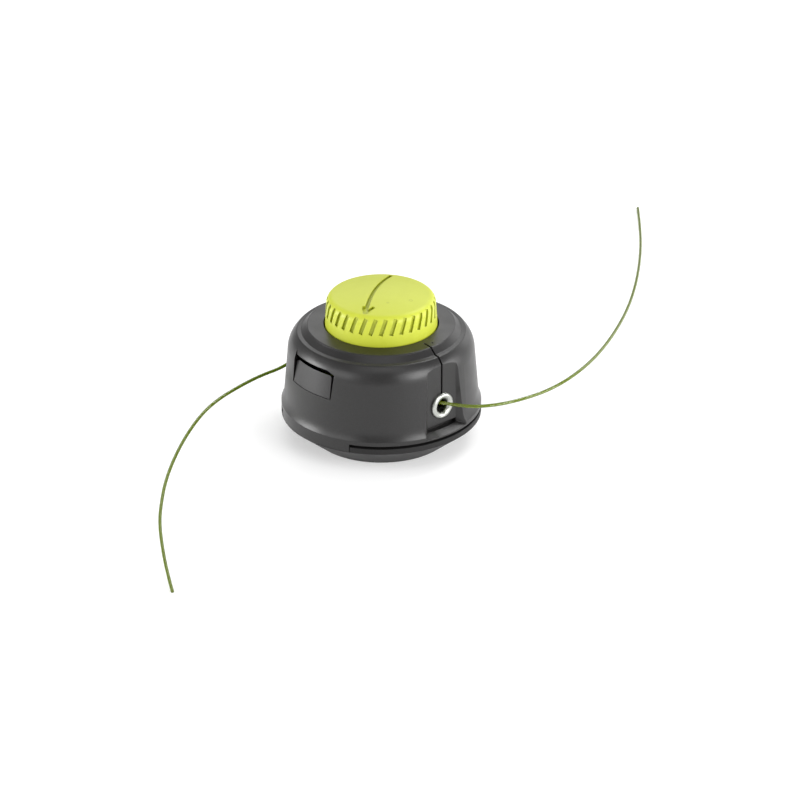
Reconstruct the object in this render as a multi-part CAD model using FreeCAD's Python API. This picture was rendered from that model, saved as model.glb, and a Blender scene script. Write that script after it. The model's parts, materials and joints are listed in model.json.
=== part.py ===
"""Bump feed trimmer head: two-line spool in a snap-together drum, bump knob up.

Millimetres, +Z up. The origin is the centre of the foot face of the base, the
face that goes against the machine. The line eyelets are on X, the release
latches on Y.
"""
import FreeCAD, Part
import math
import os

V = FreeCAD.Vector
UP = V(0, 0, 1)
ORIGIN = V(0, 0, 0)

# Clearances and moulded walls
wall = 2.5                # moulded shell
fit_clearance = 0.2       # spigot in socket, knob on neck
press_clearance = 0.02    # pressed or screwed pieces
pin_clearance = 0.05      # latch root in its cradle
slide_clearance = 0.3     # spool on the guide collar
ratchet_gap = 0.4         # crest to crest, at both ends of the bump
root_depth = 0.4          # how far moulded-on teeth reach into their carrier

# Spool and winding
spool_radius = 43.5
spool_core_radius = 22.0
spool_flange = 2.2
channel_height = 12.6
spool_plate = 4.0         # closed top of the core
core_wall = 2.5
sleeve_bore = 12.5
neck_radius = 28.9
neck_height = 8.0
spool_ribs = 6
spool_rib = 2.0
winding_depth = 14.5
winding_turns = 6         # turns side by side in a channel
line_diameter = 2.0
key_count = 4
key_width = 4.0

# Bump action
bump_travel = 5.0
tooth_height = 1.4
tooth_count = 12
tooth_margin = 2.5        # inside the edge of the spool
tooth_width = 5.0

# Base housing
base_foot_radius = 40.4
base_waist_height = 5.4
base_waist_radius = 46.9
cone_wall = 4.0           # measured level
rim_low = 14.4
rim_band = 3.2
seam_gap = 1.8
floor_top = 15.0
spigot_wall = 2.4
hub_radius = 13.0
rib_count = 8
rib_thickness = 2.2
rib_low = 3.0
collar_height = 16.0      # guide collar above the floor
post_radius = 8.5
post_height = 26.0        # above the floor
shaft_bore = 5.4
shaft_depth = 34.0

# Arbor nut, M10 x 1.25, moulded into the hub
nut_across_flats = 17.0
nut_height = 8.0          # hexagon
nut_collar_radius = 7.0
nut_collar = 3.0
nut_lip = 1.5             # hub below the nut
thread_minor_radius = 4.32
nut_chamfer = 0.9

# Drum cover
latch_room = 6.1          # spool edge to latch leg
latch_leg = 2.4
leg_gap = 1.7
flare_reach = 1.8
flange_wall = 2.8
flange_band = 2.4
flare_height = 6.5
flare_hollow = 0.35       # arc below its chord
wall_draft = 2.3
shoulder_reach = 5.0
shoulder_height = 10.2
shoulder_bow = 1.06       # arc above its chord
crest_width = 1.3
crest_rise = 0.45
crest_bow = 0.16
ledge_width = 1.6
ledge_rise = 0.25
riser_width = 3.0
riser_rise = 2.9
edge_width = 0.9
edge_rise = 0.6
edge_bow = 0.15
crown_rise = 0.4
lobe_half_angle = 30.0
lobe_gap_angle = 0.4

# Eyelet pocket, slit and eyelet
pocket_depth = 4.5
pocket_wall = 4.0
pocket_half_width = 10.9
pocket_draft = 1.1        # sideways per unit of depth
pocket_step = 0.8         # straight part of the rounded side
pocket_round = 4.4        # width of the rounding
pocket_round_bow = 0.6
pocket_ledge = 1.4        # floor under the pocket
sill_reach = 1.7          # lip of the sloping sill, outside the pocket's floor
sill_rise = 0.7           # lip above the flange
sill_edge = 0.8           # what the slope leaves of the flange's edge
groove_height = 2.8
groove_depth = 2.8
slit_width = 1.2
slit_start = 3.5          # outside the knob opening
mark_radius = 0.6         # dimple beside the slit
mark_depth = 0.9
mark_reach = 6.1          # outside the knob opening
mark_angle = 6.1
eyelet_drop = 3.1         # below the middle of the spool
eyelet_lip_radius = 7.8
eyelet_lip = 1.9
eyelet_lip_bow = 0.35
eyelet_mouth_bow = 0.7
eyelet_bore = 4.0
eyelet_neck_radius = 5.6
eyelet_back_radius = 6.5
eyelet_back = 1.3

# Release latch
window_half_width = 17.2
window_below = 11.5       # sill below the top of the straight wall
window_above = 5.2
window_lean = 1.2         # one side leans out towards its top
window_clip = 5.2         # clipped corner on that side
window_clip_drop = 1.9
notch_width = 4.2         # wedge at the other corner
notch_rise = 2.3
notch_drop = 3.0
latch_gap = 3.0           # above the pad
side_gap = 0.8
sill_gap = 0.25
pad_slope = 3.0           # how far the pad lies back at its top
pad_taper = 2.2           # how far one side leans in
pad_fall = 1.6            # how far the top falls towards the inside
pad_clip = 3.4
pad_clip_drop = 1.5
pad_round = 1.6
leg_half_angle = 11.0
foot_half_width = 6.8
latch_root_radius = 1.6
latch_root_height = 5.4   # axis above the floor
lug_thickness = 2.6
lug_wall = 1.6
lug_gap = 0.5             # under the wide part of the leg

# Bump knob
knob_radius = 32.3
knob_gap = 0.9
knob_draft = 0.3
knob_wall = 2.7
knob_skirt_gap = 3.0      # skirt above the spool
knob_band_height = 6.3    # plain band above the cover's opening
knob_taper = 0.5          # how far the slotted side leans in
knob_taper_height = 6.9
knob_edge_reach = 4.0
knob_edge_height = 4.4
knob_edge_bow = 1.02
knob_dome = 2.4
knob_boss_radius = 6.5
knob_rib = 1.8
knob_ribs = 6
slot_count = 34
slot_start = 3.0          # angle of the first slot
slot_width = 2.2
slot_depth = 1.4
slot_height = 9.8
slot_middle = 11.3        # above the cover's opening
slot_lean = 18.0
arrow_width = 2.2
arrow_depth = 1.5
arrow_reach = 27.0        # centre to tip
arrow_tail = 26.0         # centre to tail
arrow_heading = -57.5     # direction of the tip
arrow_aside = 1.4         # to one side of the centre
arrow_bow = 2.4
barb_length = 8.0
barb_angle = 21.0
barb_bow = 0.35

# Screw, washers and spring
screw_radius = 2.5
screw_length = 16.0
screw_head_radius = 4.6
screw_head = 3.0
screw_face_radius = 2.8   # flat end of the domed head
screw_head_bow = 0.8
screw_key = 4.0           # hexagon socket, across flats
screw_key_depth = 1.5
washer_radius = 6.5
washer_thickness = 1.0
thrust_inner_radius = 8.0
thrust_thickness = 1.4
spring_wire = 1.8
spring_turns = 4.5
spring_radius = 10.3      # to the middle of the wire

# Free ends of the line, from the bore of each eyelet down to the ground
bend_share = 0.45         # part of the shorter run that a bend takes up
right_route = [
    (46.6, -2.3, 37.3), (56.2, 2.8, 37.4), (66.6, 9.6, 37.4), (74.0, 21.5, 37.2), (78.2, 38.0, 36.9),
    (78.9, 59.0, 36.1), (73.3, 84.5, 34.9), (60.8, 115.0, 32.8), (41.4, 149.0, 29.6), (15.2, 187.5, 25.2),
    (-18.0, 228.5, 19.4), (-56.0, 270.5, 12.2), (-91.5, 306.5, 5.6), (-124.9, 337.9, 1.3),
]
left_route = [
    (-46.6, 1.6, 37.9), (-57.5, -2.8, 33.8), (-61.8, -12.2, 29.7), (-60.0, -22.9, 26.2),
    (-63.8, -37.3, 24.4), (-62.4, -55.6, 22.8), (-59.9, -74.2, 21.2), (-54.3, -90.5, 19.5),
    (-44.6, -108.9, 17.2), (-30.6, -129.3, 14.5), (-15.8, -147.5, 11.8), (0.8, -163.8, 9.2),
    (13.8, -175.0, 7.3), (32.3, -187.6, 4.9), (51.6, -199.7, 2.8), (67.6, -208.8, 1.3),
]

# Levels and radii that follow from the sizes above
rim_top = rim_low + rim_band
cover_edge = rim_top + seam_gap
flange_top = cover_edge + flange_band
flare_top = flange_top + flare_height
spool_base = floor_top + tooth_height + ratchet_gap + bump_travel + tooth_height
spool_height = 3 * spool_flange + 2 * channel_height
spool_top = spool_base + spool_height
wall_top = spool_top
crease_height = wall_top + shoulder_height
crest_height = crease_height + crest_rise
ledge_height = crest_height + ledge_rise
riser_top = ledge_height + riser_rise
crown_height = riser_top + edge_rise
opening_height = crown_height + crown_rise

leg_inner_radius = spool_radius + latch_room
leg_outer_radius = leg_inner_radius + latch_leg
wall_foot_radius = leg_outer_radius + leg_gap + wall
wall_top_radius = wall_foot_radius - wall_draft
crease_radius = wall_top_radius - shoulder_reach
crest_radius = crease_radius - crest_width
ledge_radius = crest_radius - ledge_width
riser_radius = ledge_radius - riser_width
crown_radius = riser_radius - edge_width
flange_radius = wall_foot_radius + flare_reach
socket_radius = flange_radius - flange_wall
spigot_radius = socket_radius - fit_clearance
opening_radius = knob_radius + knob_gap
tooth_outer_radius = spool_radius - tooth_margin
tooth_inner_radius = tooth_outer_radius - tooth_width

floor_low = floor_top - wall
collar_top = floor_top + collar_height
guide_radius = sleeve_bore - slide_clearance
plate_low = spool_top - spool_plate
eyelet_height = spool_base + spool_height / 2 - eyelet_drop
pocket_floor = wall_foot_radius - pocket_depth
pocket_back = pocket_floor - pocket_wall
pocket_low = flange_top - pocket_ledge
sill_height = wall_top - window_below
window_top = wall_top + window_above
latch_axis_height = floor_top + latch_root_height
latch_axis_radius = (leg_inner_radius + leg_outer_radius) / 2
knob_inner_radius = neck_radius + fit_clearance
knob_top = opening_height + knob_band_height + knob_taper_height + knob_edge_height + knob_dome


def outline(*steps):
    """Closed face in the XZ plane. A step is a point, or (through, end) for an arc."""
    edges = []
    here = None
    for step in list(steps) + [steps[0]]:
        if isinstance(step[0], tuple):
            through, end = step
            arc = Part.Arc(section_point(here), section_point(through), section_point(end))
            edges.append(arc.toShape())
            here = end
        else:
            if here is not None and here != step:
                edges.append(Part.LineSegment(section_point(here), section_point(step)).toShape())
            here = step
    return Part.Face(Part.Wire(edges))


def section_point(point):
    return V(point[0], 0, point[1])


def bowed(start, end, bow):
    """Arc step from start to end that stands off its chord, to the right of its run."""
    run = end[0] - start[0]
    rise = end[1] - start[1]
    chord = math.hypot(run, rise)
    through = ((start[0] + end[0]) / 2 + bow * rise / chord, (start[1] + end[1]) / 2 - bow * run / chord)
    return through, end


def turned(*steps):
    return outline(*steps).revolve(ORIGIN, UP, 360)


def sector(middle_angle, half_angle, *steps):
    face = outline(*steps)
    face.rotate(ORIGIN, UP, middle_angle - half_angle)
    return face.revolve(ORIGIN, UP, 2 * half_angle)


def cylinder(radius, low, high):
    return Part.makeCylinder(radius, high - low, V(0, 0, low))


def ring(inner, outer, low, high):
    return cylinder(outer, low, high).cut(cylinder(inner, low, high))


def block(low, high):
    return Part.makeBox(high[0] - low[0], high[1] - low[1], high[2] - low[2], V(*low))


def spun(shape, angle):
    copy = shape.copy()
    copy.rotate(ORIGIN, UP, angle)
    return copy


def around(shape, count, start=0.0):
    return [spun(shape, start + index * 360.0 / count) for index in range(count)]


def level_prism(low, high, *steps):
    """Upright prism on an outline in the XY plane."""
    face = outline(*steps)
    face.rotate(ORIGIN, V(1, 0, 0), -90)
    face.translate(V(0, 0, low))
    return face.extrude(V(0, 0, high - low))


def front_prism(*steps):
    """Level prism on an outline in the XZ plane, from the axis out past the drum on -Y."""
    return outline(*steps).extrude(V(0, -flange_radius - wall, 0))


def ratchet_teeth(level, rise):
    """Ring of ramped teeth. A negative rise hangs them from the level."""
    step = 360.0 / tooth_count
    sunk = level - math.copysign(root_depth, rise)
    triangles = []
    for radius in (tooth_inner_radius, tooth_outer_radius):
        start = V(radius, 0, 0)
        end = spun(Part.Vertex(start), step).Point
        corners = [start + UP * sunk, start + UP * (level + rise), end + UP * level, end + UP * sunk]
        triangles.append(Part.makePolygon(corners + corners[:1]))
    return around(Part.makeLoft(triangles, True, True), tooth_count)


def base_void():
    slope = (flange_radius - base_waist_radius) / (rim_low - base_waist_height)
    void_top_radius = base_waist_radius - cone_wall + slope * (floor_low - base_waist_height)
    return turned((hub_radius, 0), (base_foot_radius - cone_wall, 0),
                  (base_waist_radius - cone_wall, base_waist_height),
                  (void_top_radius, floor_low), (hub_radius, floor_low))


def latch_cradle():
    """Two lugs on the floor, on -Y, that hold the ends of a latch root."""
    outer = foot_half_width + fit_clearance
    lug_half = latch_root_radius + lug_wall
    lug = block((outer, -latch_axis_radius - lug_half, floor_low),
                (outer + lug_thickness, -latch_axis_radius + lug_half, latch_axis_height + lug_half))
    pair = lug.fuse(lug.mirror(ORIGIN, V(1, 0, 0)))
    drum_bore = cylinder(wall_foot_radius - wall - fit_clearance, floor_low, latch_axis_height + lug_half)
    return pair.common(drum_bore)


def latch_root_bore():
    half = foot_half_width + fit_clearance + lug_thickness
    return Part.makeCylinder(latch_root_radius + pin_clearance, 2 * half,
                             V(-half, -latch_axis_radius, latch_axis_height), V(1, 0, 0))


def base_housing():
    spigot_top = pocket_low - fit_clearance
    dish = turned((0, 0), (base_foot_radius, 0), (base_waist_radius, base_waist_height),
                  (flange_radius, rim_low), (flange_radius, rim_top), (spigot_radius, rim_top),
                  (spigot_radius, spigot_top), (spigot_radius - spigot_wall, spigot_top),
                  (spigot_radius - spigot_wall, floor_top), (0, floor_top))
    void = base_void()
    rib = block((0, -rib_thickness / 2, rib_low), (flange_radius, rib_thickness / 2, floor_low))
    ribs = [piece.common(void) for piece in around(rib, rib_count, 180.0 / rib_count)]
    body = dish.cut(void).multiFuse(ribs)
    guide = cylinder(guide_radius, floor_low, collar_top)
    post = cylinder(post_radius, floor_low, floor_top + post_height)
    body = body.multiFuse([guide, post] + ratchet_teeth(floor_top, tooth_height))
    body = body.multiFuse([latch_cradle(), spun(latch_cradle(), 180)])
    lobe_room = [sector(side, lobe_half_angle + lobe_gap_angle, (spigot_radius, rim_low),
                        (flange_radius + wall, rim_low), (flange_radius + wall, cover_edge),
                        (spigot_radius, cover_edge)) for side in (90, -90)]
    bores = [latch_root_bore(), spun(latch_root_bore(), 180)]
    collar_low = nut_lip + nut_height
    arbor = [hexagon(nut_across_flats / 2 + press_clearance, nut_lip, collar_low),
             cylinder(nut_collar_radius + press_clearance, collar_low, collar_low + nut_collar),
             cylinder(shaft_bore, 0, shaft_depth)]
    return body.cut(lobe_room + bores + arbor).removeSplitter()


def hexagon(inscribed_radius, low, high):
    corner = inscribed_radius / math.cos(math.radians(30))
    headings = [math.radians(60 * side) for side in range(6)]
    return level_prism(low, high, *[(corner * math.cos(a), corner * math.sin(a)) for a in headings])


def arbor_nut():
    """Hexagon nut with a round collar on its inner end."""
    low = nut_lip
    high = nut_lip + nut_height
    top = high + nut_collar
    corner = nut_across_flats / 2 / math.cos(math.radians(30))
    blank = hexagon(nut_across_flats / 2, low, high)
    turned_ends = turned((0, low), (corner - nut_chamfer, low), (corner, low + nut_chamfer),
                         (corner, high - nut_chamfer), (corner - nut_chamfer, high), (0, high))
    collar = cylinder(nut_collar_radius, high, top)
    return blank.common(turned_ends).fuse(collar).cut(cylinder(thread_minor_radius, low, top))


def cover_shell():
    flange = (flange_radius, flange_top)
    wall_foot = (wall_foot_radius, flare_top)
    wall_end = (wall_top_radius, wall_top)
    crease = (crease_radius, crease_height)
    crest = (crest_radius, crest_height)
    riser = (riser_radius, riser_top)
    crown = (crown_radius, crown_height)
    inner_crease = (crease_radius - wall / 2, crease_height - wall)
    inner_wall_end = (wall_top_radius - wall, wall_top)
    return turned(
        (socket_radius, cover_edge), (flange_radius, cover_edge), flange,
        bowed(flange, wall_foot, -flare_hollow), wall_end, bowed(wall_end, crease, shoulder_bow),
        bowed(crease, crest, crest_bow), (ledge_radius, ledge_height), riser,
        bowed(riser, crown, edge_bow), (opening_radius, opening_height),
        (opening_radius, opening_height - wall), (crown_radius - wall / 2, crown_height - wall),
        (ledge_radius - wall / 2, ledge_height - wall), inner_crease,
        bowed(inner_crease, inner_wall_end, -shoulder_bow), (wall_foot_radius - wall, flare_top),
        (socket_radius, flange_top))


def cover_envelope():
    """Solid inside the outer face of the drum, for the pocket's thick wall."""
    return turned((0, pocket_low), (wall_foot_radius, pocket_low), (wall_foot_radius, flare_top),
                  (wall_top_radius, wall_top), (crease_radius, crease_height), (0, crease_height))


def tooth_track(low):
    """Ring under the top of the cover, down to a level, that carries the teeth."""
    sink = wall / 2
    ceiling = turned((0, low), (crease_radius - sink, low), (crease_radius - sink, crease_height - sink),
                     (ledge_radius, ledge_height - sink), (crown_radius, crown_height - sink),
                     (0, opening_height - sink))
    return ring(tooth_inner_radius, tooth_outer_radius, low, opening_height).common(ceiling)


def pocket_block():
    half = pocket_half_width + pocket_round + wall
    return block((pocket_back, -half, pocket_low), (flange_radius, half, crease_height - wall))


def pocket_sill():
    """Everything under the pocket: a flat ledge with a lip, then a slope to the flange's edge."""
    lip_radius = pocket_floor + sill_reach
    return turned((0, cover_edge), (flange_radius, cover_edge), (flange_radius, cover_edge + sill_edge),
                  (lip_radius, flange_top + sill_rise), (lip_radius, flange_top), (0, flange_top))


def pocket_cut():
    """Flat-floored recess with one rounded and one sharp side, undercut at its foot."""
    far = flange_radius + wall
    step = (pocket_floor + pocket_step, -pocket_half_width - pocket_draft * pocket_step)
    round_side = pocket_half_width + pocket_round
    round_end = (math.sqrt(wall_foot_radius ** 2 - round_side ** 2), -round_side)
    sharp_side = pocket_half_width + pocket_draft * (far - pocket_floor)
    recess = level_prism(cover_edge, opening_height, (pocket_floor, -pocket_half_width), step,
                         bowed(step, round_end, -pocket_round_bow), (far, -round_side), (far, sharp_side),
                         (pocket_floor, pocket_half_width))
    groove = block((pocket_floor - groove_depth, -pocket_half_width, flange_top),
                   (far, pocket_half_width, flange_top + groove_height))
    return recess.fuse(groove).cut(pocket_sill())


def eyelet_hole():
    centre = V(0, 0, eyelet_height)
    return Part.makeCylinder(eyelet_neck_radius + press_clearance, flange_radius, centre, V(1, 0, 0))


def line_slit():
    return block((opening_radius + slit_start, -slit_width / 2, eyelet_height),
                 (flange_radius, slit_width / 2, opening_height))


def slit_mark():
    reach = opening_radius + mark_reach
    angle = math.radians(mark_angle)
    place = V(reach * math.cos(angle), reach * math.sin(angle), crown_height - mark_depth)
    return Part.makeCylinder(mark_radius, wall, place)


def latch_window():
    """Window on -Y with one clipped corner and a wedge notch at the other."""
    side = window_half_width
    opening = front_prism((-side, sill_height), (side - window_lean, sill_height),
                          (side, window_top - window_clip_drop), (side - window_clip, window_top),
                          (-side, window_top))
    notch = front_prism((-side, window_top - notch_drop), (notch_width - side, window_top - wall),
                        (-side, window_top + notch_rise))
    return opening.fuse(notch)


def drum_cover():
    shell = cover_shell()
    pocket = pocket_block().common(cover_envelope())
    lobes = [sector(side, lobe_half_angle, (socket_radius, rim_low + fit_clearance),
                    (flange_radius, rim_low + fit_clearance), (flange_radius, cover_edge),
                    (socket_radius, cover_edge)) for side in (90, -90)]
    body = shell.multiFuse([pocket, spun(pocket, 180)] + lobes)
    cuts = []
    for turn in (0, 180):
        tools = (pocket_cut(), eyelet_hole(), line_slit(), slit_mark(), latch_window())
        cuts += [spun(tool, turn) for tool in tools]
    body = body.cut(cuts)
    crest = spool_top + tooth_height + ratchet_gap
    root = crest + tooth_height
    return body.multiFuse([tooth_track(root)] + ratchet_teeth(root, -tooth_height))


def line_eyelet():
    """Flanged bush with a flared mouth, on +X."""
    back = pocket_back - eyelet_back
    lip_side = (eyelet_lip_radius, pocket_floor + eyelet_lip / 2)
    rim = ((eyelet_lip_radius + eyelet_bore) / 2, pocket_floor + eyelet_lip)
    throat = (eyelet_bore, pocket_floor - eyelet_lip / 2)
    section = outline((eyelet_bore, back), (eyelet_back_radius, back), (eyelet_back_radius, pocket_back),
                      (eyelet_neck_radius, pocket_back), (eyelet_neck_radius, pocket_floor),
                      (eyelet_lip_radius, pocket_floor), lip_side, bowed(lip_side, rim, eyelet_lip_bow),
                      bowed(rim, throat, eyelet_mouth_bow))
    bush = section.revolve(ORIGIN, UP, 360)
    bush.rotate(ORIGIN, V(0, 1, 0), 90)
    bush.translate(V(0, 0, eyelet_height))
    return bush


def release_latch():
    """Hooked pad on a leg, on -Y, with a round root that turns in the cradle."""
    pad_low = sill_height + sill_gap
    pad_top = window_top - latch_gap
    share = (wall_top - sill_height) / (wall_top - flare_top)
    pad_radius = wall_top_radius + wall_draft * share - fit_clearance
    pad_half_angle = math.degrees(math.asin(window_half_width / leg_inner_radius))
    band = sector(-90, pad_half_angle, (leg_inner_radius, pad_low), (pad_radius, pad_low),
                  (pad_radius - pad_slope, pad_top), (leg_inner_radius, pad_top - pad_fall))
    side = window_half_width - side_gap
    round_start = (side - pad_taper, pad_top - pad_round)
    round_end = (side - pad_taper - pad_round, pad_top)
    pad = band.common(front_prism((-side, pad_low), (side - window_lean, pad_low), round_start,
                                  bowed(round_start, round_end, pad_round / 4),
                                  (pad_clip - side, pad_top), (-side, pad_top - pad_clip_drop)))
    leg_low = latch_axis_height + latch_root_radius + lug_wall + lug_gap
    leg = sector(-90, leg_half_angle, (leg_inner_radius, leg_low), (leg_outer_radius, leg_low),
                 (leg_outer_radius, pad_low), (leg_inner_radius, pad_low))
    foot_half_angle = math.degrees(foot_half_width / leg_outer_radius)
    foot = sector(-90, foot_half_angle, (leg_inner_radius, latch_axis_height),
                  (leg_outer_radius, latch_axis_height), (leg_outer_radius, leg_low),
                  (leg_inner_radius, leg_low))
    half = foot_half_width + lug_thickness
    root_end = V(-half, -latch_axis_radius, latch_axis_height)
    root = Part.makeCylinder(latch_root_radius, 2 * half, root_end, V(1, 0, 0))
    return pad.multiFuse([leg, foot, root]).removeSplitter()


def line_spool():
    """Three flanges on a hollow core, ribbed inside, with a keyed neck on top."""
    floors = [spool_base + index * (spool_flange + channel_height) for index in range(3)]
    pieces = [ring(sleeve_bore, spool_radius, low, low + spool_flange) for low in floors]
    pieces.append(ring(spool_core_radius - core_wall, spool_core_radius, spool_base, spool_top))
    pieces.append(ring(sleeve_bore, sleeve_bore + core_wall, spool_base, spool_top))
    pieces.append(cylinder(spool_core_radius, plate_low, spool_top))
    neck_top = spool_top + neck_height
    pieces.append(ring(neck_radius - core_wall, neck_radius, spool_top - spool_flange, neck_top))
    body = pieces[0].multiFuse(pieces[1:])
    body = body.cut(ring(sleeve_bore + core_wall, spool_core_radius - core_wall, spool_base, plate_low))
    rib = block((sleeve_bore + core_wall / 2, -spool_rib / 2, spool_base),
                (spool_core_radius - core_wall / 2, spool_rib / 2, plate_low))
    keyway = block((0, -key_width / 2, spool_top), (neck_radius + wall, key_width / 2, neck_top))
    body = body.multiFuse(around(rib, spool_ribs) + ratchet_teeth(spool_top, tooth_height)
                          + ratchet_teeth(spool_base, -tooth_height))
    cuts = around(keyway, key_count) + [cylinder(screw_radius + fit_clearance, plate_low, spool_top)]
    return body.cut(cuts).removeSplitter()


def line_winding(channel):
    """One solid for all the wound turns of a channel, ridged by the outermost turns."""
    low = spool_base + spool_flange + channel * (spool_flange + channel_height) + fit_clearance
    pitch = (channel_height - 2 * fit_clearance) / winding_turns
    outer = spool_core_radius + winding_depth - line_diameter / 2
    steps = [(spool_core_radius + press_clearance, low), (outer, low)]
    for turn in range(winding_turns):
        middle = low + (turn + 0.5) * pitch
        steps.append(((outer + line_diameter / 2, middle), (outer, middle + pitch / 2)))
    steps.append((spool_core_radius + press_clearance, low + winding_turns * pitch))
    return turned(*steps)


def knob_profile(sink):
    """Outer line of the knob from the plain band to the crown, lowered by the sink."""
    band_top = opening_height + knob_band_height - sink
    taper_top = band_top + knob_taper_height
    dome_edge = taper_top + knob_edge_height
    band = (knob_radius - knob_draft, band_top)
    taper = (band[0] - knob_taper, taper_top)
    dome = (taper[0] - knob_edge_reach, dome_edge)
    crown = (0, dome_edge + knob_dome)
    return [band, taper, bowed(taper, dome, knob_edge_bow), bowed(dome, crown, knob_dome / 4)]


def knob_blank(sink):
    skirt = spool_top + knob_skirt_gap
    return turned((0, skirt), (knob_radius, skirt), (knob_radius, opening_height), *knob_profile(sink))


def knob_hollow():
    band, taper, (_, dome), (_, crown) = knob_profile(knob_wall)
    skirt = spool_top + knob_skirt_gap
    return turned((0, skirt), (knob_inner_radius, skirt), (knob_inner_radius, band[1]),
                  (taper[0] - knob_wall, taper[1]), (dome[0] - knob_wall / 2, dome[1]), crown)


def knob_slot():
    """Leaning slot sunk square into the tapered side, on +X."""
    band_radius = knob_radius - knob_draft
    taper_radius = band_radius - knob_taper
    slot = block((-slot_depth, -slot_width / 2, -slot_height / 2),
                 (knob_wall, slot_width / 2, slot_height / 2))
    slot.rotate(ORIGIN, V(1, 0, 0), -slot_lean)
    slot.rotate(ORIGIN, V(0, 1, 0), -math.degrees(math.atan2(knob_taper, knob_taper_height)))
    slot.translate(V((band_radius + taper_radius) / 2, 0, opening_height + slot_middle))
    return slot


def strip(start, end, bow, width, low, high):
    """Level strip of constant width along a bowed line."""
    along = (end - start).normalize()
    aside = V(-along.y, along.x, 0)
    half = aside * (width / 2)
    middle = (start + end) * 0.5 + aside * bow
    edges = [Part.Arc(start + half, middle + half, end + half).toShape(),
             Part.LineSegment(end + half, end - half).toShape(),
             Part.Arc(end - half, middle - half, start - half).toShape(),
             Part.LineSegment(start - half, start + half).toShape()]
    face = Part.Face(Part.Wire(edges))
    face.translate(V(0, 0, low))
    return face.extrude(V(0, 0, high - low))


def knob_arrow():
    """Bowed arrow sunk into the dome that shows which way to wind."""
    low = opening_height
    high = knob_top + arrow_depth
    forward = V(math.cos(math.radians(arrow_heading)), math.sin(math.radians(arrow_heading)), 0)
    aside = V(forward.y, -forward.x, 0) * arrow_aside
    tip = forward * arrow_reach + aside
    tail = aside - forward * arrow_tail
    pieces = [strip(tail, tip, -arrow_bow, arrow_width, low, high)]
    for side in (1, -1):
        heading = math.radians(arrow_heading + 180 + side * barb_angle)
        barb_end = tip + V(math.cos(heading), math.sin(heading), 0) * barb_length
        pieces.append(strip(tip, barb_end, barb_bow, arrow_width, low, high))
    shaft = pieces[0].multiFuse(pieces[1:])
    return shaft.cut(knob_blank(arrow_depth))


def bump_knob():
    hollow = knob_hollow()
    shell = knob_blank(0).cut(hollow)
    boss = cylinder(knob_boss_radius, spool_top, knob_top - knob_dome)
    rib = block((0, -knob_rib / 2, opening_height), (knob_radius, knob_rib / 2, knob_top))
    ribs = [piece.common(hollow) for piece in around(rib, knob_ribs)]
    key_half = key_width / 2 - fit_clearance
    key = block((neck_radius - core_wall, -key_half, spool_top + knob_skirt_gap),
                (knob_inner_radius + knob_wall / 2, key_half, spool_top + neck_height))
    body = shell.multiFuse([boss] + ribs + around(key, key_count))
    screw_hole = cylinder(screw_radius + press_clearance, spool_top, spool_top + screw_length)
    cuts = around(knob_slot(), slot_count, slot_start) + [knob_arrow(), screw_hole]
    return body.cut(cuts).removeSplitter()


def knob_screw():
    head_top = plate_low - washer_thickness
    face = head_top - screw_head
    face_edge = (screw_face_radius, face)
    head = turned((0, face), face_edge, bowed(face_edge, (screw_head_radius, head_top), screw_head_bow),
                  (0, head_top))
    socket = hexagon(screw_key / 2, face, face + screw_key_depth)
    shank = cylinder(screw_radius, head_top, head_top + screw_length)
    return head.cut(socket).fuse(shank)


def bump_spring():
    low = collar_top + spring_wire / 2
    high = plate_low - thrust_thickness - spring_wire / 2
    pitch = (high - low) / spring_turns
    helix = Part.makeHelix(pitch, high - low, spring_radius)
    helix.translate(V(0, 0, low))
    start = V(spring_radius, 0, low)
    heading = V(0, 2 * math.pi * spring_radius, pitch)
    section = Part.Wire(Part.makeCircle(spring_wire / 2, start, heading))
    return Part.Wire(helix).makePipeShell([section], True, True)


def line_tube(name, route):
    """Round tube on straight runs joined by arcs as large as the runs allow."""
    points = [V(*point) for point in route]
    edges = []
    radii = []
    here = points[0]
    for before, corner, after in zip(points, points[1:], points[2:]):
        back = (before - corner).normalize()
        ahead = (after - corner).normalize()
        half_turn = (math.pi - back.getAngle(ahead)) / 2
        trim = bend_share * min((before - corner).Length, (after - corner).Length)
        radius = trim / math.tan(half_turn)
        start = corner + back * trim
        end = corner + ahead * trim
        inward = (back + ahead).normalize()
        middle = corner + inward * (radius / math.cos(half_turn) - radius)
        edges.append(Part.LineSegment(here, start).toShape())
        edges.append(Part.Arc(start, middle, end).toShape())
        radii.append(round(radius, 1))
        here = end
    edges.append(Part.LineSegment(here, points[-1]).toShape())
    path = Part.Wire(edges)
    section = Part.Wire(Part.makeCircle(line_diameter / 2, points[0], points[1] - points[0]))
    tube = path.makePipeShell([section], True, True)
    expected = math.pi * line_diameter ** 2 / 4 * path.Length
    print(name, "length", round(path.Length, 1), "volume ratio", round(tube.Volume / expected, 4))
    print(name, "radii", radii)
    return tube


def head_pieces():
    latch = release_latch()
    eyelet = line_eyelet()
    thrust_low = plate_low - thrust_thickness
    washer_low = plate_low - washer_thickness
    return {
        "base_housing": base_housing(),
        "arbor_nut": arbor_nut(),
        "drum_cover": drum_cover(),
        "line_eyelet_right": eyelet,
        "line_eyelet_left": spun(eyelet, 180),
        "release_latch_front": latch,
        "release_latch_rear": spun(latch, 180),
        "line_spool": line_spool(),
        "line_winding_lower": line_winding(0),
        "line_winding_upper": line_winding(1),
        "bump_knob": bump_knob(),
        "knob_screw": knob_screw(),
        "screw_washer": ring(screw_radius + fit_clearance, washer_radius, washer_low, plate_low),
        "thrust_washer": ring(thrust_inner_radius, guide_radius, thrust_low, plate_low),
        "bump_spring": bump_spring(),
        "trimmer_line_right": line_tube("trimmer_line_right", right_route),
        "trimmer_line_left": line_tube("trimmer_line_left", left_route),
    }


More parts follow.
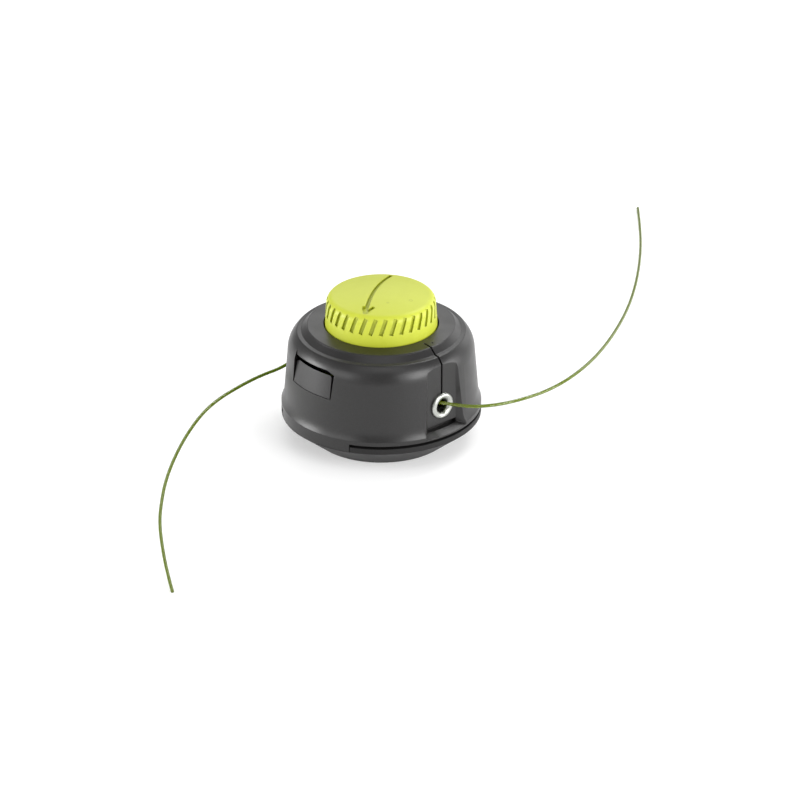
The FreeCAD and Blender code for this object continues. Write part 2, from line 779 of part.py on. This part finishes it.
os.makedirs("parts", exist_ok=True)
for node, shape in head_pieces().items():
    shape.exportStep("parts/" + node + ".step")
    print(node, "solids", len(shape.Solids), "valid", shape.isValid(), "volume", round(shape.Volume, 1))
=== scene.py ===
# %% [markdown]
# # A bump feed trimmer head
#
# This is the cutting head of a string trimmer, standing on its base. A dark nylon drum
# holds a spool of line. Two ends of the line leave through metal eyelets, and the
# yellow-green knob on top feeds more line when it is tapped on the ground. The moulded
# forms come from the CAD frame at their true size. This lesson lays out the two free
# ends of the line, gives every surface its finish, cuts the thread of the nut, winds
# the bump spring, and builds a small studio to look at it all in.

# %% Load the fixed frame
import json
import math

import bmesh
import bpy
from mathutils import Matrix, Vector


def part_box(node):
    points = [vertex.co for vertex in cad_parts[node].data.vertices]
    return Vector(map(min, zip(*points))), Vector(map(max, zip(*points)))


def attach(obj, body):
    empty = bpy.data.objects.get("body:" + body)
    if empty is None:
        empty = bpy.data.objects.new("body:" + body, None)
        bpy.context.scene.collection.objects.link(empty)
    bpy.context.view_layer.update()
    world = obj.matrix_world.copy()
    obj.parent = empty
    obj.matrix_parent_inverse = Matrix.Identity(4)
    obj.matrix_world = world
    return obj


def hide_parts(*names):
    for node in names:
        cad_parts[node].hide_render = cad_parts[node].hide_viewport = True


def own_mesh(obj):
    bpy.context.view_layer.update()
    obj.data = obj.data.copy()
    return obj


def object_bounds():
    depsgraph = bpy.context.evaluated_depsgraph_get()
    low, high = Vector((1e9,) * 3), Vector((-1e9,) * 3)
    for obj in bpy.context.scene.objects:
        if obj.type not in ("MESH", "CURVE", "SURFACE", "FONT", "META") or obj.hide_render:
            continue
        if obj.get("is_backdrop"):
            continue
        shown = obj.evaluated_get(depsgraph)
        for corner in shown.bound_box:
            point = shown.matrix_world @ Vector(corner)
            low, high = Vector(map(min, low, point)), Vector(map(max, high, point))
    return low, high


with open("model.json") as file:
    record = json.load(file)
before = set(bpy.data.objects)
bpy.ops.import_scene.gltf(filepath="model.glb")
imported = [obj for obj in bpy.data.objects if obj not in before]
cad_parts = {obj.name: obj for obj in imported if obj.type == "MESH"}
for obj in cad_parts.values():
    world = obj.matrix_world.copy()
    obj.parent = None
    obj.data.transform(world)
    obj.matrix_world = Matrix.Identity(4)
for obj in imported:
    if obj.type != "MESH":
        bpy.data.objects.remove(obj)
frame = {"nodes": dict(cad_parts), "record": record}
cad_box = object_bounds()
nodes = frame["nodes"]
MM = 0.001

# %% [markdown]
# ## Camera
#
# The camera comes first, because every later choice is seen through it. The head
# is seen from 26 degrees above the floor and 49 degrees round from the front latch.
# A long lens from two metres keeps the drum's sides nearly parallel. The camera aims
# a little beside the drum, so the head lands left of and above the picture's middle.

# %% Camera
VIEW_AZIMUTH = math.radians(48.6)
VIEW_ELEVATION = math.radians(26.4)
VIEW_DISTANCE = 2000 * MM
DRUM_MIDDLE = Vector((0, 0, 40 * MM))
AIM_RIGHT = 10.75 * MM
AIM_DOWN = 18.07 * MM
# Blender takes the lens and the sensor in millimetres.
LENS = 155.7
SENSOR_WIDTH = 36

view_right = Vector((math.cos(VIEW_AZIMUTH), math.sin(VIEW_AZIMUTH), 0))
view_front = Vector((math.sin(VIEW_AZIMUTH), -math.cos(VIEW_AZIMUTH), 0))
view_back = view_front * math.cos(VIEW_ELEVATION) + Vector((0, 0, math.sin(VIEW_ELEVATION)))
view_up = view_back.cross(view_right)

camera_data = bpy.data.cameras.new("photo_camera")
camera_data.lens = LENS
camera_data.sensor_width = SENSOR_WIDTH
camera = bpy.data.objects.new("photo_camera", camera_data)
bpy.context.scene.collection.objects.link(camera)
camera.location = DRUM_MIDDLE + view_back * VIEW_DISTANCE
aim_point = DRUM_MIDDLE + view_right * AIM_RIGHT - view_up * AIM_DOWN
camera.rotation_euler = (aim_point - camera.location).to_track_quat("-Z", "Y").to_euler()
bpy.context.scene.camera = camera
print("camera at", [round(value, 3) for value in camera.location])

# %% [markdown]
# ## Colours and nodes
#
# Colours are chosen as sRGB hex values, the way the eye reads them, and one function
# turns them to the linear values that a shader wants. Another small function adds a
# node with its settings and links, so each finish below reads as a list of its layers.
# All patterns start from Object coordinates, which are metres here, so the scale of a
# noise is one divided by the size of its blotches.

# %% Helpers for the finishes


def linear(hex_colour):
    """sRGB hex value to linear colour with full alpha."""
    channels = [int(hex_colour[start:start + 2], 16) / 255 for start in (1, 3, 5)]
    return [c / 12.92 if c <= 0.04045 else ((c + 0.055) / 1.055) ** 2.4 for c in channels] + [1.0]


def add_node(tree, kind, inputs=None, **settings):
    """Add a node. An input is a value, or another node's socket to link to."""
    node = tree.nodes.new(kind)
    for name, value in settings.items():
        setattr(node, name, value)
    for socket, value in (inputs or {}).items():
        if isinstance(value, bpy.types.NodeSocket):
            tree.links.new(value, node.inputs[socket])
        else:
            node.inputs[socket].default_value = value
    return node


def new_material(name):
    """Material whose node tree is still empty."""
    material = bpy.data.materials.new(name)
    material.use_nodes = True
    material.node_tree.nodes.clear()
    return material, material.node_tree


print("middle grey is", round(linear("#808080")[0], 3), "in linear light")

# %% [markdown]
# ## Line nylon
#
# Trimmer line is extruded nylon that light passes through. The way through its middle
# is the longest, so the middle looks dark green and the edges stay yellow-green. A
# painted colour can't do that. A mostly clear shader with a green tint, and an
# absorbing volume inside, darkens the middle from every side. Some of the light
# scatters at the skin, which keeps the line bright in front of the dark drum.

# %% Line nylon
LINE_DIAMETER = 2.0 * MM
LINE_ROUGHNESS = 0.12
LINE_IOR = 1.53
LINE_CLEAR_SHARE = 0.84
ABSORBED_PER_DIAMETER = 5.4
LINE_ABSORPTION = ABSORBED_PER_DIAMETER / LINE_DIAMETER

line_nylon, tree = new_material("line_nylon")
skin = add_node(tree, "ShaderNodeBsdfPrincipled",
                {"Base Color": linear("#c8e22e"), "Roughness": LINE_ROUGHNESS, "IOR": LINE_IOR,
                 "Transmission Weight": LINE_CLEAR_SHARE})
inside = add_node(tree, "ShaderNodeVolumeAbsorption",
                  {"Color": linear("#9cb858"), "Density": LINE_ABSORPTION})
add_node(tree, "ShaderNodeOutputMaterial",
         {"Surface": skin.outputs["BSDF"], "Volume": inside.outputs["Volume"]})
print("line nylon absorbs", LINE_ABSORPTION, "per metre")

# %% [markdown]
# ## Free ends of the line
#
# The line is stiff and keeps the curl of its spool. Each free end leaves its eyelet,
# sweeps out round the drum and comes down to the ground. One NURBS curve per end takes
# the route's points as its control points, so it is smooth all along. The order and
# the end point setting come after the points, because a shorter spline would cap them.

# %% Free ends of the line
# The routes are in millimetres, the exits and the lengths in metres.
RIGHT_ROUTE = (
    (46.6, -2.3, 37.3), (56.2, 2.8, 37.4), (66.6, 9.6, 37.4), (74.0, 21.5, 37.2), (78.2, 38.0, 36.9),
    (78.9, 59.0, 36.1), (73.3, 84.5, 34.9), (60.8, 115.0, 32.8), (41.4, 149.0, 29.6), (15.2, 187.5, 25.2),
    (-18.0, 228.5, 19.4), (-56.0, 270.5, 12.2), (-91.5, 306.5, 5.6), (-124.9, 337.9, 1.3),
)
LEFT_ROUTE = (
    (-46.6, 1.6, 37.9), (-57.8, -2.3, 33.2), (-62.4, -13.0, 27.6), (-62.0, -24.2, 25.4),
    (-64.2, -37.6, 24.3), (-63.8, -54.4, 22.8), (-61.4, -72.9, 21.2), (-55.4, -89.6, 19.6),
    (-44.8, -108.8, 17.4), (-30.6, -129.3, 15.0), (-15.8, -147.5, 12.2), (0.8, -163.8, 9.6),
    (13.8, -175.0, 7.5), (32.3, -187.6, 4.9), (51.6, -199.7, 2.8), (67.6, -208.8, 1.3),
)
STEPS_ALONG = 12
STEPS_ROUND = 3


def free_line(name, route):
    """Round line on a NURBS route, capped at its cut end."""
    curve = bpy.data.curves.new(name, "CURVE")
    curve.dimensions = "3D"
    curve.resolution_u = STEPS_ALONG
    curve.bevel_depth = LINE_DIAMETER / 2
    curve.bevel_resolution = STEPS_ROUND
    curve.use_fill_caps = True
    spline = curve.splines.new("NURBS")
    spline.points.add(len(route) - 1)
    for point, corner in zip(spline.points, route):
        point.co = [value * MM for value in corner] + [1]
    spline.order_u = 3
    spline.use_endpoint_u = True
    curve.materials.append(line_nylon)
    line = bpy.data.objects.new(name, curve)
    bpy.context.scene.collection.objects.link(line)
    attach(line, "root")
    print(name, "has", len(route), "points and is", round(spline.calc_length() / MM, 1), "mm long")
    return line


right_line = free_line("free_line_right", RIGHT_ROUTE)
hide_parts("trimmer_line_right")
left_line = free_line("free_line_left", LEFT_ROUTE)
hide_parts("trimmer_line_left")

# %% [markdown]
# ## Glass-filled nylon
#
# The drum, its base, the latches and the spool are injection moulded in dark grey nylon
# with short glass fibres. The mould was spark eroded, so the skin is a fine satin that
# spreads highlights along every rounded edge. Flow in the mould leaves the gloss a
# little uneven, and fibres near the skin show as pale flecks. One function makes all
# four from the same layers, because they differ only in tone, gloss and edges. A Bevel
# node rounds the shading of sharp CAD edges as the mould's own small radii do.

# %% Glass-filled nylon
# Real flecks and grit are finer than a pixel, so both are drawn coarser here.
NYLON_FLECK = 0.7 * MM
NYLON_GRIT = 0.9 * MM
GRIT_DEPTH = 0.04 * MM
GRIT_STRENGTH = 0.2
# Noise below the first value stays dark, and above the second it is as pale as a fleck gets.
FLECK_LOW = 0.35
FLECK_HIGH = 0.8
NYLON_CLOUD = 14 * MM
NYLON_GLOSS_SPREAD = 0.04
NYLON_IOR = 1.5
# A noise has most of its values between these two.
NOISE_LOW = 0.3
NOISE_HIGH = 0.7
EDGE_SAMPLES = 6


def glass_filled_nylon(name, dark, pale, roughness, edge_radius, ior=NYLON_IOR):
    """Dark moulded nylon with pale flecks, uneven gloss and a fine grit."""
    material, tree = new_material(name)
    place = add_node(tree, "ShaderNodeTexCoord").outputs["Object"]
    cloud = add_node(tree, "ShaderNodeTexNoise", {"Vector": place, "Scale": 1 / NYLON_CLOUD, "Detail": 3})
    fleck = add_node(tree, "ShaderNodeTexNoise", {"Vector": place, "Scale": 1 / NYLON_FLECK, "Detail": 2})
    flecked = add_node(tree, "ShaderNodeMapRange",
                       {"Value": fleck.outputs["Fac"], "From Min": FLECK_LOW, "From Max": FLECK_HIGH})
    colour = add_node(tree, "ShaderNodeMix",
                      {"Factor": flecked.outputs["Result"], "A": linear(dark), "B": linear(pale)},
                      data_type="RGBA")
    gloss = add_node(tree, "ShaderNodeMapRange",
                     {"Value": cloud.outputs["Fac"], "From Min": NOISE_LOW, "From Max": NOISE_HIGH,
                      "To Min": roughness - NYLON_GLOSS_SPREAD, "To Max": roughness + NYLON_GLOSS_SPREAD})
    edge = add_node(tree, "ShaderNodeBevel", {"Radius": edge_radius}, samples=EDGE_SAMPLES)
    grit = add_node(tree, "ShaderNodeTexNoise", {"Vector": place, "Scale": 1 / NYLON_GRIT, "Detail": 4})
    skin = add_node(tree, "ShaderNodeBump",
                    {"Height": grit.outputs["Fac"], "Strength": GRIT_STRENGTH, "Distance": GRIT_DEPTH,
                     "Normal": edge.outputs["Normal"]})
    shader = add_node(tree, "ShaderNodeBsdfPrincipled",
                      {"Base Color": colour.outputs["Result"], "Roughness": gloss.outputs["Result"],
                       "IOR": ior, "Normal": skin.outputs["Normal"]})
    add_node(tree, "ShaderNodeOutputMaterial", {"Surface": shader.outputs["BSDF"]})
    print(name, "has roughness about", roughness, "and edges of", edge_radius / MM, "mm")
    return material


housing_nylon = glass_filled_nylon("glass_filled_nylon", "#151414", "#1d1c1c",
                                   roughness=0.35, edge_radius=0.40 * MM)
# Painted shade: the same nylon, darker and duller, so the base's foot looks as if it stood in shadow.
shaded_base_copy = glass_filled_nylon("base_copy_painted_shade", "#131212", "#1b1a1a",
                                roughness=0.55, edge_radius=0.40 * MM, ior=1.38)
latch_nylon = glass_filled_nylon("latch_nylon", "#171616", "#1f1e1e",
                                 roughness=0.35, edge_radius=0.30 * MM)
spool_nylon = glass_filled_nylon("spool_nylon", "#161616", "#1d1d1c",
                                 roughness=0.46, edge_radius=0.25 * MM)

# %% [markdown]
# ## Colour of the knob
#
# The knob is unfilled nylon, coloured through in yellow-green so that wear on the
# ground never shows another colour. Its tone is a little cloudy. Two faint round marks
# on the crown are where pins pushed it out of the mould. They could be cut as shallow
# rings, but they are too faint to catch the light, so each is painted as a ring of
# slightly deeper colour, by distance from a point.

# %% Colour of the knob
KNOB_CLOUD = 7 * MM
# Middles of the two pin marks, in millimetres.
PIN_MARKS = ((13.3, -6.7, 88.2), (18.9, 5.8, 88.2))
PIN_RADIUS = 1.0 * MM
PIN_LINE = 0.3 * MM

knob_nylon, tree = new_material("knob_nylon")
place = add_node(tree, "ShaderNodeTexCoord").outputs["Object"]
cloud = add_node(tree, "ShaderNodeTexNoise", {"Vector": place, "Scale": 1 / KNOB_CLOUD, "Detail": 2})
colour = add_node(tree, "ShaderNodeMix",
                  {"Factor": cloud.outputs["Fac"], "A": linear("#b4bc2e"), "B": linear("#bac236")},
                  data_type="RGBA")
for mark in PIN_MARKS:
    reach = add_node(tree, "ShaderNodeVectorMath", {0: place, 1: [value * MM for value in mark]},
                     operation="DISTANCE")
    ring = add_node(tree, "ShaderNodeMath", {0: reach.outputs["Value"], 1: PIN_RADIUS, 2: PIN_LINE},
                    operation="COMPARE")
    colour = add_node(tree, "ShaderNodeMix",
                      {"Factor": ring.outputs["Value"], "A": colour.outputs["Result"],
                       "B": linear("#aab22c")}, data_type="RGBA")
print("knob nylon has", len(PIN_MARKS), "pin marks")

# %% [markdown]
# ## Slots and skin of the knob
#
# The slots and the arrow look a deeper, purer green than the skin, because light comes
# back to the eye from wall to wall in there and little of it reaches their floors. That
# shade is painted here: an Ambient Occlusion node finds the narrow places, from any
# side, and mixes a deeper green into the colour there. The skin is a satin like the
# drum's, with softer edges.

# %% Slots and skin of the knob
SLOT_REACH = 2.5 * MM
SLOT_SAMPLES = 12
# Share of open sky where the painted shade is full, and where it ends.
SLOT_FULL = 0.4
SLOT_END = 0.9
# The real grit is finer than a pixel, so it is drawn coarser here.
KNOB_GRIT = 1.1 * MM
KNOB_GRIT_STRENGTH = 0.15
KNOB_EDGE = 0.55 * MM
KNOB_ROUGHNESS = 0.42

open_share = add_node(tree, "ShaderNodeAmbientOcclusion", {"Distance": SLOT_REACH},
                      samples=SLOT_SAMPLES, only_local=True)
painted_slot_shade = add_node(tree, "ShaderNodeMapRange",
                   {"Value": open_share.outputs["AO"], "From Min": SLOT_FULL, "From Max": SLOT_END,
                    "To Min": 1.0, "To Max": 0.0})
# Painted shade: the deeper green goes in where the slots leave little open sky.
colour = add_node(tree, "ShaderNodeMix",
                  {"Factor": painted_slot_shade.outputs["Result"], "A": colour.outputs["Result"],
                   "B": linear("#979e02")}, data_type="RGBA")
edge = add_node(tree, "ShaderNodeBevel", {"Radius": KNOB_EDGE}, samples=EDGE_SAMPLES)
grit = add_node(tree, "ShaderNodeTexNoise", {"Vector": place, "Scale": 1 / KNOB_GRIT, "Detail": 3})
skin = add_node(tree, "ShaderNodeBump",
                {"Height": grit.outputs["Fac"], "Strength": KNOB_GRIT_STRENGTH, "Distance": GRIT_DEPTH,
                 "Normal": edge.outputs["Normal"]})
shader = add_node(tree, "ShaderNodeBsdfPrincipled",
                  {"Base Color": colour.outputs["Result"], "Roughness": KNOB_ROUGHNESS, "IOR": NYLON_IOR,
                   "Normal": skin.outputs["Normal"]})
add_node(tree, "ShaderNodeOutputMaterial", {"Surface": shader.outputs["BSDF"]})
print("knob nylon has", len(tree.nodes), "nodes")

# %% [markdown]
# ## Metals
#
# The eyelets are turned from steel rod and plated bright. Turning leaves fine rings
# round the eyelet's axis, drawn by a ring wave that a Mapping node centres on it. The
# nut, screw and washers are zinc plated, which is greyer and cloudier, and the spring
# is drawn wire with a dark oiled skin. One function makes all three, because a cloud
# of tone and gloss is what tells a plated or oiled metal from a polished one.

# %% Metals
# Real turning marks are finer than a pixel, so the rings are drawn coarser here.
TURNING_PITCH = 0.8 * MM
# At a scale of 1, a wave repeats after this length in metres.
WAVE_REPEAT = math.pi / 10
WAVE_WOBBLE = 0.6
METAL_EDGE = 0.2 * MM
METAL_DEPTH = 0.03 * MM
METAL_STRENGTH = 0.25
METAL_GLOSS_SPREAD = 0.06
eyelet_low, eyelet_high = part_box("line_eyelet_right")
EYELET_AXIS = (eyelet_low[2] + eyelet_high[2]) / 2


def plated_steel(name, dark, pale, roughness, cloud_size, turned=False):
    """Clouded metal, with rings round the eyelets' axis if it was turned."""
    material, tree = new_material(name)
    place = add_node(tree, "ShaderNodeTexCoord").outputs["Object"]
    cloud = add_node(tree, "ShaderNodeTexNoise", {"Vector": place, "Scale": 1 / cloud_size, "Detail": 4})
    colour = add_node(tree, "ShaderNodeMix",
                      {"Factor": cloud.outputs["Fac"], "A": linear(dark), "B": linear(pale)},
                      data_type="RGBA")
    gloss = add_node(tree, "ShaderNodeMapRange",
                     {"Value": cloud.outputs["Fac"], "From Min": NOISE_LOW, "From Max": NOISE_HIGH,
                      "To Min": roughness - METAL_GLOSS_SPREAD, "To Max": roughness + METAL_GLOSS_SPREAD})
    height = cloud.outputs["Fac"]
    if turned:
        centred = add_node(tree, "ShaderNodeMapping", {"Vector": place, "Location": (0, 0, -EYELET_AXIS)})
        rings = add_node(tree, "ShaderNodeTexWave",
                         {"Vector": centred.outputs["Vector"], "Scale": WAVE_REPEAT / TURNING_PITCH,
                          "Distortion": WAVE_WOBBLE}, wave_type="RINGS", rings_direction="X")
        height = rings.outputs["Fac"]
    edge = add_node(tree, "ShaderNodeBevel", {"Radius": METAL_EDGE}, samples=EDGE_SAMPLES)
    skin = add_node(tree, "ShaderNodeBump",
                    {"Height": height, "Strength": METAL_STRENGTH, "Distance": METAL_DEPTH,
                     "Normal": edge.outputs["Normal"]})
    shader = add_node(tree, "ShaderNodeBsdfPrincipled",
                      {"Base Color": colour.outputs["Result"], "Roughness": gloss.outputs["Result"],
                       "Metallic": 1.0, "Normal": skin.outputs["Normal"]})
    add_node(tree, "ShaderNodeOutputMaterial", {"Surface": shader.outputs["BSDF"]})
    print(name, "made,", "with turning marks" if turned else "clouded")
    return material


eyelet_steel = plated_steel("plated_eyelet_steel", "#a6a8a3", "#c2c4be",
                            roughness=0.30, cloud_size=1.5 * MM, turned=True)
zinc_steel = plated_steel("zinc_plated_steel", "#a9acb0", "#c2c5c8",
                          roughness=0.36, cloud_size=3 * MM)
spring_steel = plated_steel("drawn_spring_steel", "#6d6e70", "#8b8c8e",
                            roughness=0.34, cloud_size=4 * MM)

# %% [markdown]
# ## Finishes on the CAD pieces
#
# The record says which material slot each CAD piece takes, so the finishes go on by
# slot. The pieces themselves stay as the frame has them. The base gets a darker,
# duller copy of the housing's nylon, which is painted shade: it mirrors less of the
# glowing floor, so the foot of the drum looks as if it stood in shadow.

# %% Finishes on the CAD pieces
finishes = {"housing_nylon": housing_nylon, "latch_nylon": latch_nylon, "spool_nylon": spool_nylon,
            "knob_nylon": knob_nylon, "line_nylon": line_nylon, "eyelet_steel": eyelet_steel,
            "zinc_steel": zinc_steel, "spring_steel": spring_steel}
for subpart in frame["record"]["subparts"]:
    for slot in nodes[subpart["node"]].material_slots:
        slot.material = finishes[subpart["material_slot"]]
# The base takes the copy with painted shade.
for slot in nodes["base_housing"].material_slots:
    slot.material = shaded_base_copy

# %% [markdown]
# ## Thread of the arbor nut
#
# The nut in the hub goes on the machine's stud. Its thread is left-handed, M10 with a
# pitch of 1.25 mm, so that cutting never unscrews the head. A bump pattern could hint
# at it, but the thread shows in the open bore, so it is modelled. One pitch of the
# profile, spun and lowered step by step, winds the helix, which is a little too long
# at first. Two cuts then make it as long as the nut.

# %% Helix of the thread
THREAD_MINOR = 4.32 * MM
THREAD_MAJOR = 5.0 * MM
THREAD_PITCH = 1.25 * MM
THREAD_STEPS = 48
MERGE = 0.002 * MM
# Radius and share of the pitch: a flat crest, a flank, a narrow root and a flank back.
THREAD_PROFILE = ((THREAD_MINOR, 0), (THREAD_MINOR, 1 / 4), (THREAD_MAJOR, 9 / 16),
                  (THREAD_MAJOR, 11 / 16), (THREAD_MINOR, 1))
nut_low, nut_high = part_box("arbor_nut")
NUT_BOTTOM = nut_low[2]
NUT_TOP = nut_high[2]
turns = math.ceil((NUT_TOP - NUT_BOTTOM) / THREAD_PITCH) + 1

helix = bmesh.new()
points = [helix.verts.new((radius, 0, NUT_TOP + share * THREAD_PITCH)) for radius, share in THREAD_PROFILE]
runs = [helix.edges.new(pair) for pair in zip(points, points[1:])]
bmesh.ops.spin(helix, geom=points + runs, cent=(0, 0, 0), axis=(0, 0, 1), angle=turns * math.tau,
               steps=turns * THREAD_STEPS, dvec=(0, 0, -THREAD_PITCH / THREAD_STEPS))
bmesh.ops.remove_doubles(helix, verts=helix.verts[:], dist=MERGE)
for height, outward in ((NUT_TOP, 1), (NUT_BOTTOM, -1)):
    bmesh.ops.bisect_plane(helix, geom=helix.verts[:] + helix.edges[:] + helix.faces[:], dist=MERGE,
                           plane_co=(0, 0, height), plane_no=(0, 0, outward), clear_outer=True)
thread_mesh = bpy.data.meshes.new("thread")
helix.to_mesh(thread_mesh)
helix.free()
print("thread of", turns, "turns has", len(thread_mesh.polygons), "faces")

# %% [markdown]
# ## Nut with its thread
#
# On the real nut a tap cuts the thread into a plain bore. A boolean could do the same
# here, but it breaks easily where so many thin faces meet. So a copy of the CAD nut
# loses the wall of its bore, its two rims move out past the thread, and a flat bridge
# at each end joins the rim to the helix. The nut is then one closed shell again.

# %% Nut with its thread
RIM_RADIUS = 5.3 * MM
NEAR = 0.05 * MM


def make_piece(name, shape, material):
    """Turn a finished bmesh into an object at the origin, with one material."""
    open_edges = sum(edge.is_boundary for edge in shape.edges)
    print(name, "has faces:", len(shape.faces), "and open edges:", open_edges)
    mesh = bpy.data.meshes.new(name)
    shape.to_mesh(mesh)
    shape.free()
    mesh.materials.append(material)
    piece = bpy.data.objects.new(name, mesh)
    bpy.context.scene.collection.objects.link(piece)
    return piece


shape = bmesh.new()
shape.from_mesh(nodes["arbor_nut"].data)
bmesh.ops.remove_doubles(shape, verts=shape.verts[:], dist=MERGE)
on_bore = {vert for vert in shape.verts if vert.co.xy.length < THREAD_MINOR + NEAR}
bore_wall = [face for face in shape.faces if on_bore.issuperset(face.verts)]
bmesh.ops.delete(shape, geom=bore_wall, context="FACES")
rims = [vert for vert in shape.verts if vert.co.xy.length < THREAD_MINOR + NEAR]
widen = RIM_RADIUS / THREAD_MINOR
bmesh.ops.scale(shape, verts=rims, vec=(widen, widen, 1))
shape.from_mesh(thread_mesh)
open_edges = [edge for edge in shape.edges if edge.is_boundary]
for height in (NUT_TOP, NUT_BOTTOM):
    ring_edges = [edge for edge in open_edges
                  if all(abs(vert.co.z - height) < NEAR for vert in edge.verts)]
    bmesh.ops.bridge_loops(shape, edges=ring_edges)
bmesh.ops.recalc_face_normals(shape, faces=shape.faces[:])
threaded_nut = make_piece("threaded_arbor_nut", shape, zinc_steel)
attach(threaded_nut, "root")
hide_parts("arbor_nut")

# %% [markdown]
# ## Bump spring
#
# The spring under the spool is wound from drawn wire and pushes the knob up. When the
# knob is tapped the spring shortens, which a rigid CAD piece can't show, so a coil of
# the same size takes its place. A curve with a round section could make it, but a spin
# winds it in one step: a circle of wire turns about the drum's axis and rises as it
# goes. Its two cut ends are then filled.

# %% Coil of the bump spring
SPRING_WIRE = 1.8 * MM
SPRING_TURNS = 4.5
SPRING_STEPS = 32
WIRE_SEGMENTS = 16
spring_low, spring_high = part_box("bump_spring")
SPRING_FOOT = spring_low[2]
SPRING_HEIGHT = spring_high[2] - SPRING_FOOT
SPRING_RADIUS = spring_high[0] - SPRING_WIRE / 2

steps = round(SPRING_TURNS * SPRING_STEPS)
wire_start = Matrix.Translation((SPRING_RADIUS, 0, SPRING_FOOT + SPRING_WIRE / 2))
upright = Matrix.Rotation(math.pi / 2, 4, "X")
shape = bmesh.new()
bmesh.ops.create_circle(shape, radius=SPRING_WIRE / 2, segments=WIRE_SEGMENTS, matrix=wire_start @ upright)
bmesh.ops.spin(shape, geom=shape.verts[:] + shape.edges[:], cent=(0, 0, 0), axis=(0, 0, 1), steps=steps,
               angle=SPRING_TURNS * math.tau, dvec=(0, 0, (SPRING_HEIGHT - SPRING_WIRE) / steps))
bmesh.ops.remove_doubles(shape, verts=shape.verts[:], dist=MERGE)
cut_ends = [edge for edge in shape.edges if edge.is_boundary]
bmesh.ops.holes_fill(shape, edges=cut_ends, sides=WIRE_SEGMENTS)
bmesh.ops.recalc_face_normals(shape, faces=shape.faces[:])
for face in shape.faces:
    # The wire's round is made of quads and is smooth, and the cut ends stay flat.
    face.smooth = len(face.verts) == 4
coiled_spring = make_piece("coiled_bump_spring", shape, spring_steel)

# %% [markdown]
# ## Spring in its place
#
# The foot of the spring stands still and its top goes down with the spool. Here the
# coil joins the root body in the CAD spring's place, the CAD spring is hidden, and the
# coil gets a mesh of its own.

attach(coiled_spring, "root")
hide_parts("bump_spring")
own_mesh(coiled_spring)

# %% [markdown]
# ## Floor
#
# The head stands on a plain pale table. The table glows a little, as a light table does
# in a product studio, so no hard shadow shows under the drum. It reaches so far that
# even a low view doesn't see its edge.

# %% Floor
FLOOR_GLOW = 0.32
FLOOR_ROUGHNESS = 0.8
# In metres, from the middle to each side.
FLOOR_REACH = 40.0

pale_floor, tree = new_material("pale_floor")
shader = add_node(tree, "ShaderNodeBsdfPrincipled",
                  {"Base Color": linear("#dcdcdc"), "Roughness": FLOOR_ROUGHNESS,
                   "Emission Color": linear("#ffffff"), "Emission Strength": FLOOR_GLOW})
add_node(tree, "ShaderNodeOutputMaterial", {"Surface": shader.outputs["BSDF"]})
shape = bmesh.new()
bmesh.ops.create_grid(shape, x_segments=1, y_segments=1, size=FLOOR_REACH)
floor = make_piece("floor", shape, pale_floor)
floor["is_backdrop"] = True

# %% [markdown]
# ## Light
#
# A dark satin drum shows its form by what it mirrors, so soft boxes stand all round
# it. Low ones at the left and right light the latch pad, the eyelet's pocket and both
# edges of the flange. The one behind lies in the flat ring round the knob, and the
# high ones draw the bright lines on the crest and on the sill under the eyelet. Each
# is placed as the camera sees it, in metres to the right, to the front and up. The
# standard view transform shows the colours as they were chosen.

# %% Light
SOFT_BOXES = (
    # name, right, front, up, width, height, watts
    ("left_box", -0.90, 0.05, 0.22, 0.50, 0.40, 5.8),
    ("left_front_box", -0.65, 0.65, 0.35, 0.50, 0.45, 1.8),
    ("right_box", 0.90, 0.05, 0.22, 0.50, 0.40, 3.4),
    ("right_front_box", 0.65, 0.65, 0.35, 0.50, 0.45, 6.0),
    ("right_back_box", 0.65, -0.65, 0.30, 0.50, 0.45, 1.05),
    ("back_box", 0.00, -0.85, 0.60, 0.90, 0.40, 1.9),
    ("right_top_box", 0.50, -0.42, 0.87, 0.40, 0.30, 2.8),
    ("top_back_box", 0.00, -0.50, 0.95, 0.90, 0.30, 1.1),
    ("top_front_box", 0.00, 0.60, 0.95, 0.90, 0.30, 1.5),
)
WORLD_GLOW = 0.45


def softbox(name, right, front, up, width, height, power):
    """Soft box aimed at the drum."""
    light = bpy.data.lights.new(name, "AREA")
    light.shape = "RECTANGLE"
    light.size = width
    light.size_y = height
    light.energy = power
    lamp = bpy.data.objects.new(name, light)
    lamp.location = view_right * right + view_front * front + Vector((0, 0, up))
    lamp.rotation_euler = (DRUM_MIDDLE - lamp.location).to_track_quat("-Z", "Y").to_euler()
    bpy.context.scene.collection.objects.link(lamp)


for box in SOFT_BOXES:
    softbox(*box)
world = bpy.data.worlds.new("studio")
bpy.context.scene.world = world
world.use_nodes = True
background = world.node_tree.nodes["Background"]
background.inputs["Color"].default_value = linear("#ffffff")
background.inputs["Strength"].default_value = WORLD_GLOW
bpy.context.scene.view_settings.view_transform = "Standard"
print(len(SOFT_BOXES), "soft boxes")

# %% [markdown]
# ## Sizes and finish
#
# The finishes and new pieces must leave the head as large as the CAD has it. So two
# boxes are written down to compare, the CAD's own from the start of the script and the
# dressed head's.

# %% Sizes and finish
visual_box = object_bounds()
for name, (low, high) in (("CAD", cad_box), ("dressed", visual_box)):
    print(name, "box in mm:", [round((end - start) / MM, 1) for start, end in zip(low, high)])
